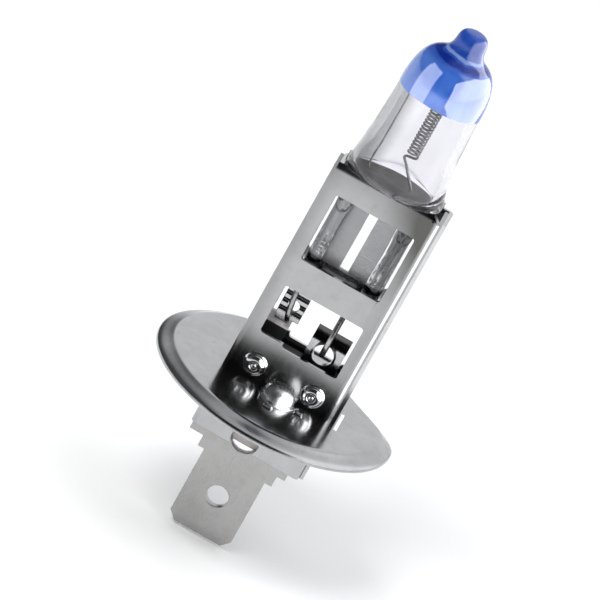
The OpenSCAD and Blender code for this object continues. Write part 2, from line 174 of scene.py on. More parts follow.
def make_floor():
    data = bpy.data.meshes.new("floor")
    height = cad_lo.z - FLOOR_GAP
    corners = [(-FLOOR_HALF, -FLOOR_HALF), (FLOOR_HALF, -FLOOR_HALF),
               (FLOOR_HALF, FLOOR_HALF), (-FLOOR_HALF, FLOOR_HALF)]
    data.from_pydata([(x, y, height) for x, y in corners], [], [(0, 1, 2, 3)])
    floor = bpy.data.objects.new("floor", data)
    scene.collection.objects.link(floor)
    material = bpy.data.materials.new("floor_paper")
    material.use_nodes = True
    bsdf = material.node_tree.nodes["Principled BSDF"]
    bsdf.inputs["Base Color"].default_value = (FLOOR_WHITE, FLOOR_WHITE, FLOOR_WHITE, 1)
    bsdf.inputs["Roughness"].default_value = 0.9
    bsdf.inputs["Specular IOR Level"].default_value = 0.1
    data.materials.append(material)


# Soft boxes: name, direction, distance, width, height and middle height (m), brightness, and whether
# they light the whole stage or only show in the gloss of the pieces that make_lamps links to them
LAMPS = [
    ("key", direction(-33, 52), 0.5, 0.18, 0.18, 0.0, 15.0, True),
    ("fill", direction(20, 82), 0.9, 1.1, 1.1, 0.0, 0.62, True),
    ("left_panel", direction(-56, 0), 0.085, 0.075, 0.115, 0.042, 2.6, False),
    ("right_panel", direction(85, 0), 0.080, 0.36, 0.150, 0.060, 3.8, False),
    ("edge_panel", direction(49, 0), 0.032, 0.027, 0.034, -0.003, 2.6, False),
]


def make_lamps(shown_in):
    """Each panel shows only in some pieces, so the flange's left rim and the clear glass stay plain."""
    groups = {}
    for name, pieces in shown_in.items():
        groups[name] = bpy.data.collections.new(name + "_pieces")
        for piece in pieces:
            groups[name].objects.link(piece)
    for name, towards, distance, width, height, middle, bright, lights_floor in LAMPS:
        data = bpy.data.lights.new(name, "AREA")
        data.shape = "RECTANGLE"
        data.size, data.size_y = width, height
        data.energy = bright * math.pi * width * height
        lamp = bpy.data.objects.new(name, data)
        lamp.matrix_world = (Matrix.Translation(towards * distance + Vector((0, 0, middle)))
                             @ towards.to_track_quat("Z", "Y").to_matrix().to_4x4())
        lamp.visible_camera = False
        lamp.visible_diffuse = lights_floor
        lamp.visible_glossy = not lights_floor
        lamp.visible_transmission = False
        if name in groups:
            lamp.light_linking.receiver_collection = groups[name]
        scene.collection.objects.link(lamp)


# ---------- materials ----------

class Surface:
    """A node material being put together. add() makes a node and sets or links its inputs."""

    def __init__(self, name):
        self.material = bpy.data.materials.new(name)
        self.material.use_nodes = True
        self.tree = self.material.node_tree
        self.bsdf = self.tree.nodes["Principled BSDF"]
        self.object_place = self.add("ShaderNodeTexCoord").outputs["Object"]

    def add(self, kind, inputs=None, **settings):
        node = self.tree.nodes.new(kind)
        for key, value in settings.items():
            setattr(node, key, value)
        for key, value in (inputs or {}).items():
            if isinstance(value, bpy.types.NodeSocket):
                self.tree.links.new(value, node.inputs[key])
            else:
                node.inputs[key].default_value = value
        return node

    def set(self, **inputs):
        for key, value in inputs.items():
            socket = self.bsdf.inputs[key.replace("_", " ")]
            if isinstance(value, bpy.types.NodeSocket):
                self.tree.links.new(value, socket)
            else:
                socket.default_value = value

    def grain(self, per_mm, detail=3.0, roughness=0.6, distortion=0.0):
        """Noise from 0 to 1 with per_mm features in each millimetre along X, Y and Z."""
        place = self.add("ShaderNodeMapping", {"Vector": self.object_place,
                                               "Scale": [k / MM for k in per_mm]})
        noise = self.add("ShaderNodeTexNoise", {
            "Vector": place.outputs["Vector"], "Scale": 1.0, "Detail": detail,
            "Roughness": roughness, "Distortion": distortion})
        return noise.outputs["Fac"]

    def axes(self):
        """Place along X, Y and Z in millimetres."""
        scaled = self.add("ShaderNodeMapping", {"Vector": self.object_place, "Scale": [1 / MM] * 3})
        parts = self.add("ShaderNodeSeparateXYZ", {"Vector": scaled.outputs["Vector"]})
        return parts.outputs["X"], parts.outputs["Y"], parts.outputs["Z"]

    def stretch(self, value, low, high, to_low=0.0, to_high=1.0):
        """The value's range from low to high, eased at both ends, as a range from to_low to to_high."""
        node = self.add("ShaderNodeMapRange", {
            "Value": value, "From Min": low, "From Max": high, "To Min": to_low, "To Max": to_high},
            interpolation_type="SMOOTHSTEP")
        return node.outputs["Result"]

    def blend(self, factor, a, b):
        node = self.add("ShaderNodeMix", data_type="RGBA")
        self.tree.links.new(factor, node.inputs["Factor"])
        for socket, value in ((node.inputs["A"], a), (node.inputs["B"], b)):
            colour_in = [s for s in node.inputs if s.name == socket.name and s.type == "RGBA"][0]
            if isinstance(value, bpy.types.NodeSocket):
                self.tree.links.new(value, colour_in)
            else:
                colour_in.default_value = value
        return [s for s in node.outputs if s.type == "RGBA"][0]

    def maths(self, operation, a, b):
        node = self.add("ShaderNodeMath", operation=operation)
        for i, value in enumerate((a, b)):
            if isinstance(value, bpy.types.NodeSocket):
                self.tree.links.new(value, node.inputs[i])
            else:
                node.inputs[i].default_value = value
        return node.outputs["Value"]

    def bump(self, height, depth_mm, below=None):
        node = self.add("ShaderNodeBump", {"Height": height, "Distance": depth_mm * MM,
                                           "Strength": 1.0})
        if below is not None:
            self.tree.links.new(below, node.inputs["Normal"])
        return node.outputs["Normal"]


def grey(level, warm=0.0):
    """A grey with a small warm (positive) or cool (negative) cast."""
    return (level * (1 + warm), level, level * (1 - warm), 1.0)


STREAK_DEPTH = 0.0006                        # of the fine drawn streaks in sheet metal, mm


def metal(name, level, rough, streaks, warm=-0.012, wave_depth=0.003, wear=0.5,
          painted_dark_reflections=False, ridges=(), painted_shade_above=None, smear=0.0):
    """Plated sheet metal: rolled waviness, fine drawn streaks, dull patches and tiny dark pits.

    Painted shade (dark reflections) darkens the sheet towards its top right corner, along both sides and at
    both ends.
    Ridges are pressed across the sheet at some heights, with painted dark reflections along them. Above a
    height the sheet gets painted shade. Smear draws the reflections out round the bulb's axis, as brushed
    sheet does.
    """
    s = Surface(name)
    streak = s.grain(streaks, detail=4.0, roughness=0.7)
    patch = s.grain((0.35, 0.35, 0.35), detail=3.0)
    speck = s.grain((7, 7, 7), detail=2.0)
    stain = s.grain((0.9, 0.9, 0.9), detail=5.0, roughness=0.7, distortion=0.4)
    base = s.blend(s.stretch(patch, 0.3, 0.7), grey(level * 0.94, warm), grey(level * 1.05, warm))
    base = s.blend(s.stretch(stain, 0.50, 0.75), base, grey(level * 0.87, warm + 0.03))
    base = s.blend(s.stretch(speck, 0.70, 0.78), base, grey(level * 0.62, warm + 0.02))
    if painted_dark_reflections:
        # painted shade: dark reflections painted towards the top right corner, along both sides and at both
        # ends
        x, _, z = s.axes()
        cloud = s.maths("MULTIPLY", s.maths("SUBTRACT", s.grain((0.25, 0.25, 0.12), detail=1.0), 0.5), 1.6)
        along = s.maths("ADD", z, cloud)
        across = s.maths("ADD", x, cloud)
        corner = s.maths("MULTIPLY", s.stretch(across, -1.5, 6.5), s.stretch(along, 10.5, 21.5))
        edge = s.maths("ADD", s.stretch(across, 3.0, 5.6, 0.0, 0.32),
                       s.stretch(across, -5.4, -3.6, 0.34, 0.0))
        ends = s.maths("ADD", s.stretch(along, 18.6, 21.4, 0.0, 0.25), s.stretch(along, 0.0, 5.0, 0.75, 0.0))
        dark = s.maths("ADD", s.maths("MULTIPLY", corner, 1.05), s.maths("ADD", edge, ends))
        flat_part = s.stretch(x, 4.8, 5.1, 1.0, 0.0)      # the bend at the right gets no painted shade
        base = s.blend(s.maths("MULTIPLY", s.maths("MINIMUM", dark, 1.0), flat_part),
                       base, grey(level * 0.28, 0.02))
    if painted_shade_above is not None:
        z = s.axes()[2]
        # painted shade on the sheet above this height (the ground tab's rolled top)
        base = s.blend(s.stretch(z, painted_shade_above, painted_shade_above + 0.2), base, grey(level * 0.10, 0.02))
    uneven = s.maths("ADD", s.stretch(patch, 0.25, 0.75, -0.25, 0.25),
                     s.stretch(streak, 0.3, 0.7, -0.3, 0.3))
    rough_out = s.maths("ADD", rough, s.maths("MULTIPLY", uneven, rough * wear))
    wave = s.grain((0.45, 0.45, 0.45), detail=1.5, roughness=0.4)
    normal = s.bump(wave, wave_depth)
    normal = s.bump(streak, STREAK_DEPTH, normal)
    for height in ridges:
        off = s.maths("ABSOLUTE", s.maths("SUBTRACT", s.axes()[2], height), 0.0)
        normal = s.bump(s.stretch(off, 0.0, 0.26, 1.0, 0.0), 0.10, normal)
        # painted dark reflection: a dark band along each ridge
        base = s.blend(s.stretch(off, 0.10, 0.16, 0.85, 0.0), base, grey(level * 0.12))
    s.set(Metallic=1.0, Base_Color=base, Roughness=rough_out, Normal=normal)
    if smear:
        around = s.add("ShaderNodeTangent", direction_type="RADIAL", axis="Z")
        s.set(Tangent=around.outputs["Tangent"], Anisotropic=smear, Anisotropic_Rotation=0.25)
    return s.material


def ceramic():
    s = Surface("steatite")
    cloud = s.grain((0.8, 0.8, 0.8), detail=4.0)
    pore = s.grain((9, 9, 9), detail=2.0)
    base = s.blend(s.stretch(cloud, 0.3, 0.7), (0.84, 0.79, 0.78, 1), (0.92, 0.88, 0.87, 1))
    base = s.blend(s.stretch(pore, 0.66, 0.76), base, (0.45, 0.40, 0.38, 1))
    # painted shade on the insulator below the raised seat's sloping top
    z = s.axes()[2]
    painted_seat_shade = s.maths("MULTIPLY", s.stretch(z, 4.62, 4.74, 1.0, 0.0), s.stretch(z, 1.6, 2.4))
    base = s.blend(painted_seat_shade, base, (0.02, 0.02, 0.021, 1))
    s.set(Base_Color=base, Roughness=s.stretch(cloud, 0.2, 0.8, 0.5, 0.7),
          Normal=s.bump(pore, 0.012, s.bump(cloud, 0.02)))
    return s.material


def wire_metal(name, level, rough):
    """Drawn wire: fine rings and die marks, with darker oxide patches."""
    s = Surface(name)
    marks = s.grain((14, 14, 3), detail=3.0)
    oxide = s.grain((1.6, 1.6, 1.6), detail=3.0)
    base = s.blend(s.stretch(oxide, 0.4, 0.65), grey(level), grey(level * 0.5, 0.03))
    s.set(Metallic=1.0, Base_Color=base, Roughness=s.stretch(marks, 0.3, 0.7, rough * 0.7, rough * 1.3),
          Normal=s.bump(marks, 0.002))
    return s.material


def quartz():
    """Clear fused quartz: draw lines, a slight haze, grey seal edges and a smoky floor of the gas space."""
    s = Surface("quartz")
    lines = s.grain((1.4, 1.4, 0.06), detail=2.0)
    haze = s.grain((0.5, 0.5, 0.3), detail=2.0)
    clear = s.blend(s.stretch(haze, 0.3, 0.7), (0.89, 0.89, 0.92, 1), (0.94, 0.93, 0.96, 1))
    x, y, z = s.axes()
    # painted shade: grey on the tube's left side
    clear = s.blend(s.stretch(x, -4.0, -1.2), (0.42, 0.43, 0.44, 1), clear)
    # smoke that sealing leaves on the floor of the gas space, above the flat seal
    wide_x, wide_y = s.maths("MULTIPLY", x, 1 / 3.95), s.maths("MULTIPLY", y, 1 / 2.7)
    reach = s.maths("SQRT", s.maths("ADD", s.maths("MULTIPLY", wide_x, wide_x),
                                    s.maths("MULTIPLY", wide_y, wide_y)), 0.0)
    swirl = s.grain((0.4, 0.4, 3.0), detail=4.0, roughness=0.7, distortion=0.5)
    smoke = s.blend(s.stretch(swirl, 0.35, 0.7), (0.030, 0.026, 0.020, 1), (0.130, 0.116, 0.096, 1))
    on_floor = s.maths("MULTIPLY", s.stretch(reach, 0.96, 1.0, 1.0, 0.0),
                       s.maths("MULTIPLY", s.stretch(z, 21.0, 21.3), s.stretch(z, 22.4, 22.6, 1.0, 0.0)))
    tint = s.blend(on_floor, clear, smoke)
    # grey ribs beside the foils with the jaws' marks; painted shade makes them darker on the right
    away = s.maths("ABSOLUTE", s.maths("SUBTRACT", x, GLASS_X), 0.0)
    streak = s.grain((2.2, 0.3, 0.10), detail=3.0, distortion=0.3)
    side = s.stretch(x, -2.0, 2.0)
    dark_grey = s.blend(side, (0.15, 0.157, 0.163, 1), (0.045, 0.047, 0.05, 1))
    pale_grey = s.blend(side, (0.30, 0.31, 0.32, 1), (0.20, 0.206, 0.213, 1))
    rib_grey = s.blend(s.stretch(streak, 0.40, 0.62), dark_grey, pale_grey)
    crumple = s.grain((2.6, 2.6, 1.4), detail=4.0, roughness=0.8, distortion=1.0)
    crumple_grey = s.blend(s.stretch(crumple, 0.42, 0.56), (0.03, 0.03, 0.032, 1), (0.52, 0.53, 0.54, 1))
    rib_grey = s.blend(s.maths("MULTIPLY", s.stretch(z, 14.4, 14.8, 1.0, 0.0),
                               s.stretch(away, 2.85, 2.95, 1.0, 0.0)), rib_grey, crumple_grey)
    out_x = s.maths("MULTIPLY", s.maths("SUBTRACT", away, 3.05), 1 / 0.72)
    out_z = s.maths("MULTIPLY", s.maths("SUBTRACT", z, 18.7), 1 / 1.15)
    lobe = s.maths("SQRT", s.maths("ADD", s.maths("MULTIPLY", out_x, out_x),
                                   s.maths("MULTIPLY", out_z, out_z)), 0.0)
    outline = s.maths("MULTIPLY", s.stretch(lobe, 0.82, 0.92), s.stretch(lobe, 1.0, 1.12, 1.0, 0.0))
    rib_grey = s.blend(outline, rib_grey, (0.04, 0.04, 0.042, 1))
    in_rib = s.maths("MULTIPLY", s.stretch(away, 2.25, 2.35), s.stretch(z, 19.8, 21.5, 1.0, 0.0))
    tint = s.blend(in_rib, tint, rib_grey)
    # dark band below the foils
    low_band = s.maths("MULTIPLY", s.stretch(z, 12.2, 12.35, 1.0, 0.0), s.stretch(z, 11.4, 11.7))
    tint = s.blend(low_band, tint, (0.10, 0.10, 0.105, 1))
    clear_rough = s.stretch(haze, 0.3, 0.7, 0.0, 0.02)
    s.set(Base_Color=tint, Roughness=s.maths("ADD", clear_rough, s.maths("MULTIPLY", on_floor, 0.45)),
          Normal=s.bump(lines, 0.001))
    s.set(Transmission_Weight=s.maths("SUBTRACT", 1.0, s.maths("MULTIPLY", on_floor, 0.9)), IOR=1.458)
    return s.material


def blue_film(name, ior):
    """Interference film: clear blue glass that reflects more than plain glass, denser in soft bands."""
    s = Surface(name)
    band = s.grain((0.35, 0.35, 0.12), detail=2.0, distortion=0.3)
    fine = s.grain((3, 3, 1.5), detail=3.0)
    base = s.blend(s.stretch(band, 0.35, 0.7), (0.055, 0.20, 0.85, 1), (0.13, 0.33, 0.96, 1))
    # the film is denser on the nub and on the shoulder round its foot
    z = s.axes()[2]
    dense = s.stretch(s.maths("ADD", z, s.maths("MULTIPLY", band, 1.2)), 34.9, 35.7)
    base = s.blend(s.maths("MULTIPLY", dense, 0.75), base, (0.0015, 0.05, 0.45, 1))
    # painted highlight: a pale ring round the nub's foot, above a ring of painted dark reflection
    wavy = s.maths("ADD", z, s.maths("MULTIPLY", s.grain((0.7, 0.7, 0.7), detail=3.0), 0.5))
    painted_dark_ring = s.maths("MULTIPLY", s.stretch(wavy, 35.15, 35.3), s.stretch(wavy, 35.5, 35.6, 1.0, 0.0))
    base = s.blend(painted_dark_ring, base, (0.001, 0.03, 0.34, 1))
    painted_highlight_ring = s.maths("MULTIPLY", s.stretch(wavy, 35.66, 35.76), s.stretch(wavy, 35.9, 36.05, 0.75, 0.0))
    base = s.blend(painted_highlight_ring, base, (0.42, 0.58, 0.97, 1))
    s.set(Base_Color=base, Roughness=s.stretch(fine, 0.3, 0.7, 0.01, 0.04),
          Normal=s.bump(fine, 0.0005))
    s.set(Transmission_Weight=0.5, IOR=ior)
    return s.material


def make_materials():
    vertical, across = (14, 14, 0.35), (0.4, 14, 14)
    return {
        "nickel": metal("nickel", 0.44, 0.17, vertical),
        # the front shell's sheet is a darker copy of the rear shell's: painted shade on the front, painted
        # light on the rear
        "front_nickel_shaded": metal("front_nickel_shaded", 0.40, 0.17, vertical, painted_dark_reflections=True, smear=0.85),
        "rear_nickel_lit": metal("rear_nickel_lit", 0.58, 0.17, vertical),
        "bright_nickel": metal("bright_nickel", 0.62, 0.28, (5, 5, 5), wave_depth=0.002, wear=0.6),
        "weld_nickel": metal("weld_nickel", 0.62, 0.13, (5, 5, 5), wave_depth=0.001, wear=0.6),
        "blade": metal("blade", 0.39, 0.30, vertical, warm=0.008, wave_depth=0.005),
        "strip": metal("strip", 0.50, 0.22, across, ridges=(6.35, 7.15, 7.95, 8.75)),
        "tab": metal("tab", 0.50, 0.22, vertical, painted_shade_above=5.62),
        "steatite": ceramic(),
        "lead_wire": wire_metal("lead_wire", 0.42, 0.25),
        "foil": metal("foil", 0.35, 0.32, (0.5, 12, 12), wave_depth=0.003),
        "quartz": quartz(),
        "blue_film": blue_film("blue_film", 2.0),
        "blue_nub": blue_film("blue_nub", 1.5),
        "tungsten": wire_metal("tungsten", 0.40, 0.3),
    }


# ---------- mesh helpers ----------

def new_piece(name, points, faces, material, replaced, smooth_angle=40, turn_out=True):
    """A mesh from points in millimetres that rides on the body and stands for CAD nodes."""
    data = bpy.data.meshes.new(name)
    data.from_pydata([(x * MM, y * MM, z * MM) for x, y, z in points], [], faces)
    data.validate()
    build = bmesh.new()
    build.from_mesh(data)
    bmesh.ops.remove_doubles(build, verts=build.verts, dist=1e-7)
    if turn_out:
        bmesh.ops.recalc_face_normals(build, faces=build.faces)
    build.to_mesh(data)
    build.free()
    data.shade_smooth()
    data.set_sharp_from_angle(angle=math.radians(smooth_angle))
    data.materials.append(material)
    piece = bpy.data.objects.new(name, data)
    scene.collection.objects.link(piece)
    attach(piece, "root")
    if replaced:
        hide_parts(*replaced)
    return piece


def bezier(a, b, c, d, count):
    """Points of a cubic curve from a to d, both ends included; works in two or three dimensions."""
    out = []
    for i in range(count + 1):
        t = i / count
        out.append(tuple((1 - t) ** 3 * p + 3 * t * (1 - t) ** 2 * q + 3 * t * t * (1 - t) * r + t ** 3 * s
                         for p, q, r, s in zip(a, b, c, d)))
    return out


def grid_faces(rows, columns, closed_rows=False):
    """Quads between rows of points that each close on themselves."""
    faces = []
    for i in range(rows if closed_rows else rows - 1):
        for k in range(columns):
            n, m = (i + 1) % rows, (k + 1) % columns
            faces.append((i * columns + k, i * columns + m, n * columns + m, n * columns + k))
    return faces


def tube(points, radius, sides=20):
    """Points and faces of a round wire with flat ends."""
    line = [Vector(p) for p in points]
    out = []
    side = None
    for i, p in enumerate(line):
        along = (line[min(i + 1, len(line) - 1)] - line[max(i - 1, 0)]).normalized()
        if side is None:
            side = along.orthogonal()
        side = (side - along * side.dot(along)).normalized()
        other = along.cross(side)
        for k in range(sides):
            a = 2 * math.pi * k / sides
            out.append(tuple(p + (side * math.cos(a) + other * math.sin(a)) * radius))
    faces = grid_faces(len(line), sides)
    faces.append(tuple(range(sides))[::-1])
    faces.append(tuple(range((len(line) - 1) * sides, len(line) * sides)))
    return out, faces


# ---------- CAD nodes that keep their shape ----------

EDGE_BREAK = 0.06                            # rounding that tumbling leaves on stamped edges


def finish_node(name, material, edge=EDGE_BREAK):
    """Gives a CAD node its material, rounded edges and even shading."""
    node = nodes[name]
    node.data.materials.clear()
    node.data.materials.append(material)
    weld = node.modifiers.new("weld", "WELD")
    weld.merge_threshold = 1e-6
    flat = node.modifiers.new("flat", "DECIMATE")
    flat.decimate_type = "DISSOLVE"
    flat.angle_limit = math.radians(0.5)
    if edge:
        bevel = node.modifiers.new("edges", "BEVEL")
        bevel.width = edge * MM
        bevel.segments = 2
        bevel.limit_method = "ANGLE"
        bevel.angle_limit = math.radians(40)
    even = node.modifiers.new("even", "WEIGHTED_NORMAL")
    even.weight = 100
    even.keep_sharp = False
    for polygon in node.data.polygons:
        polygon.use_smooth = True


# ---------- flange ----------

RIM_ROLL, FLAT_ROLL = 1.65, 1.1              # how far in from the edge the top starts to roll down
FLANGE_POINTS = 288                          # points round the flange


def flange_reach(angle, inset):
    """Distance from the axis to the flange's outline, inset by some millimetres."""
    across = (CHORD_R - inset) / max(math.cos(angle - CHORD_AZ), 1e-3)
    if math.cos(angle - CHORD_AZ) < 0.05:
        across = 1e3
    circle = FLANGE_R - inset
    sharp = 24.0                             # how tight the corners between arc and flat are
    return (circle ** -sharp + across ** -sharp) ** (-1 / sharp)


def roll_width(angle):
    """Width of the rolled rim: wide on the round side, narrow along the flat side."""
    off = abs((angle - CHORD_AZ + math.pi) % (2 * math.pi) - math.pi)
    t = min(max((off - math.radians(36)) / math.radians(16), 0), 1)
    return FLAT_ROLL + (RIM_ROLL - FLAT_ROLL) * t * t * (3 - 2 * t)


def rectangle_reach(angle, left, right, half):
    """Distance from the axis to a rectangle's side with slightly round corners."""
    c, s = math.cos(angle), math.sin(angle)
    across = (right if c > 0 else left) / c if abs(c) > 1e-6 else 1e3
    along = half / abs(s) if abs(s) > 1e-6 else 1e3
    return (across ** -30.0 + along ** -30.0) ** (-1 / 30.0)


def cut_slot(piece, lo, hi):
    """Cuts a rectangular slot through the sheet and closes its walls."""
    build = bmesh.new()
    build.from_mesh(piece.data)
    for axis, at in ((0, lo[0]), (0, hi[0]), (1, lo[1]), (1, hi[1])):
        place, normal = Vector((0, 0, 0)), Vector((0, 0, 0))
        place[axis], normal[axis] = at * MM, 1.0
        everything = build.verts[:] + build.edges[:] + build.faces[:]
        bmesh.ops.bisect_plane(build, geom=everything, plane_co=place, plane_no=normal, dist=1e-8)
    gone = [f for f in build.faces
            if lo[0] < f.calc_center_median().x / MM < hi[0] and lo[1] < f.calc_center_median().y / MM < hi[1]
            and f.calc_center_median().z / MM < 0.1]
    bmesh.ops.delete(build, geom=gone, context="FACES")
    bmesh.ops.bridge_loops(build, edges=[e for e in build.edges if e.is_boundary])
    bmesh.ops.recalc_face_normals(build, faces=build.faces)
    build.to_mesh(piece.data)
    build.free()
    piece.data.set_sharp_from_angle(angle=math.radians(35))


FLANGE_SHEET = 0.5
WALL = 0.26                                  # upright part of the rim below the roll
COLLAR_TOP, COLLAR_SHEET = 2.2, 0.4
COLLAR_INSET = 0.37                          # from the shell's outside to the collar: its sheet and some play
SLOT = ((6.06, -3.1), (6.36, 1.8))           # lower left and upper right corner of the relief slot
NIBS = [(0.1, -5.95, 0.5, 0.35), (2.75, -3.95, 0.45, 0.45)]     # middle and half size of the stake nibs
NIB_LAYERS = [(1.12, -0.1), (1.06, 0.01), (1.0, 0.05), (0.93, 0.12),
              (0.82, 0.17), (0.6, 0.2), (0.2, 0.21)]            # share of the size at each height
NIB_SIDES = 24


def make_flange(material):
    """Pressed disc with a rolled rim, a flat side, a drawn collar, a relief slot and two stake nibs."""
    depth = -box_mm("flange_disc")[0].z
    shell_lo, shell_hi = box_mm("front_shell")
    rear_lo = box_mm("rear_shell")[0]
    left, right = rear_lo.x + COLLAR_INSET, shell_hi.x - COLLAR_INSET
    half = -shell_lo.y - COLLAR_INSET
    # share of the roll's width and height, from the top down its slope to the edge
    roll_line = bezier((1, 0), (0.86, 0), (0.80, 0.035), (0.70, 0.14), 6)[:-1]
    roll_line += bezier((0.70, 0.14), (0.35, 0.51), (0, 0.66), (0, 1), 10)
    top_line = [(across, -(depth - WALL) * down) for across, down in roll_line]
    inner_line = [(math.cos(math.pi / 2 * i / 8), math.sin(math.pi / 2 * i / 8)) for i in range(9)]
    rows = []
    for k in range(FLANGE_POINTS):
        angle = 2 * math.pi * k / FLANGE_POINTS
        c, s = math.cos(angle), math.sin(angle)
        roll = roll_width(angle)
        hole = rectangle_reach(angle, left, right, half)
        bore = rectangle_reach(angle, left + COLLAR_SHEET, right - COLLAR_SHEET, half - COLLAR_SHEET)
        row = [(bore, COLLAR_TOP), (hole, COLLAR_TOP), (hole, 0.05), (hole + 0.05, 0.0)]
        for share in (0.35, 0.7):
            row.append((hole + (flange_reach(angle, roll) - hole) * share, 0.0))
        row += [(flange_reach(angle, inset * roll), z) for inset, z in top_line]
        row += [(flange_reach(angle, 0.03), -depth + WALL - 0.05), (flange_reach(angle, 0.0), -depth + 0.10),
                (flange_reach(angle, 0.02), -depth + 0.04), (flange_reach(angle, 0.08), -depth),
                (flange_reach(angle, FLANGE_SHEET - 0.08), -depth),
                (flange_reach(angle, FLANGE_SHEET), -depth + 0.07)]
        row += [(flange_reach(angle, FLANGE_SHEET + (roll - FLANGE_SHEET) * (1 - across)),
                 -depth + 0.12 + (depth - 0.12 - FLANGE_SHEET) * up) for across, up in inner_line]
        row.append((bore, -FLANGE_SHEET))
        rows.append([(r * c, r * s, z) for r, z in row])
    columns = len(rows[0])
    points = [p for row in rows for p in row]
    faces = grid_faces(FLANGE_POINTS, columns, closed_rows=True)
    for x, y, half_x, half_y in NIBS:
        start = len(points)
        outline = [superellipse(half_x, half_y, 5, 2 * math.pi * k / NIB_SIDES) for k in range(NIB_SIDES)]
        for size, z in NIB_LAYERS:
            points += [(x + px * size, y + py * size, z) for px, py in outline]
        last = start + NIB_SIDES * (len(NIB_LAYERS) - 1)
        faces += [tuple(start + i for i in f) for f in grid_faces(len(NIB_LAYERS), NIB_SIDES)]
        faces.append(tuple(range(start, start + NIB_SIDES))[::-1])
        faces.append(tuple(range(last, last + NIB_SIDES)))
    piece = new_piece("flange_skin", points, faces, material, ["flange_disc"], smooth_angle=35)
    cut_slot(piece, *SLOT)


# ---------- bead, dimples and tab ----------

def lathe(line, sides=48):
    """Points and faces of a round form about Z; the line's first and last radius may be 0."""
    points = [(r * math.cos(2 * math.pi * k / sides), r * math.sin(2 * math.pi * k / sides), z)
              for r, z in line for k in range(sides)]
    faces = grid_faces(len(line), sides)
    faces.append(tuple(range(sides))[::-1])
    faces.append(tuple(range((len(line) - 1) * sides, len(line) * sides)))
    return points, faces


def make_bead(material):
    """Ball of braze between the shell's front and the flange, with a fillet where it wets the flange."""
    lo, hi = box_mm("braze_bead")
    x, r = (lo.x + hi.x) / 2, (hi.x - lo.x) / 2
    y = hi.y - r + 0.3
    line = [(r + 0.10, 0.0), (r + 0.06, 0.03), (r, 0.10)]
    for i in range(1, 15):
        a = math.pi / 2 * (0.06 + 0.94 * i / 14)
        line.append((max(r * math.cos(a), 0.01), r * math.sin(a) * 0.985))
    points, faces = lathe(line)
    points = [(x + px, min(y + py, hi.y), pz) for px, py, pz in points]
    return new_piece("bead", points, faces, material, ["braze_bead"])


def make_dimples(material, node, facing):
    """Two projection welds: a round swelling with a groove and a small pip in its middle."""
    lo, hi = box_mm(node)
    r = (hi.z - lo.z) / 2
    h = hi.y - lo.y
    base = hi.y if facing < 0 else lo.y
    z = (lo.z + hi.z) / 2
    line = [(r + 0.22, -0.02), (r + 0.12, 0.015), (r, 0.07)]
    for i in range(1, 9):
        a = math.pi / 2 * i / 8
        line.append((0.40 + (r - 0.40) * math.cos(a) ** 0.9, 0.07 + (h - 0.09) * math.sin(a)))
    line += [(0.38, h - 0.05), (0.34, h - 0.20), (0.29, h - 0.24), (0.24, h - 0.20), (0.21, h - 0.08),
             (0.15, h - 0.02), (0.06, h), (0.01, h)]
    points, faces = [], []
    for x in (lo.x + r, hi.x - r):
        p, f = lathe(line, 40)
        start = len(points)
        points += [(x + px, base + facing * pz, z + py) for px, py, pz in p]
        faces += [tuple(start + i for i in face) for face in f]
    return new_piece(node.replace("weld_dimples", "welds"), points, faces, material,
                     [node], smooth_angle=60)


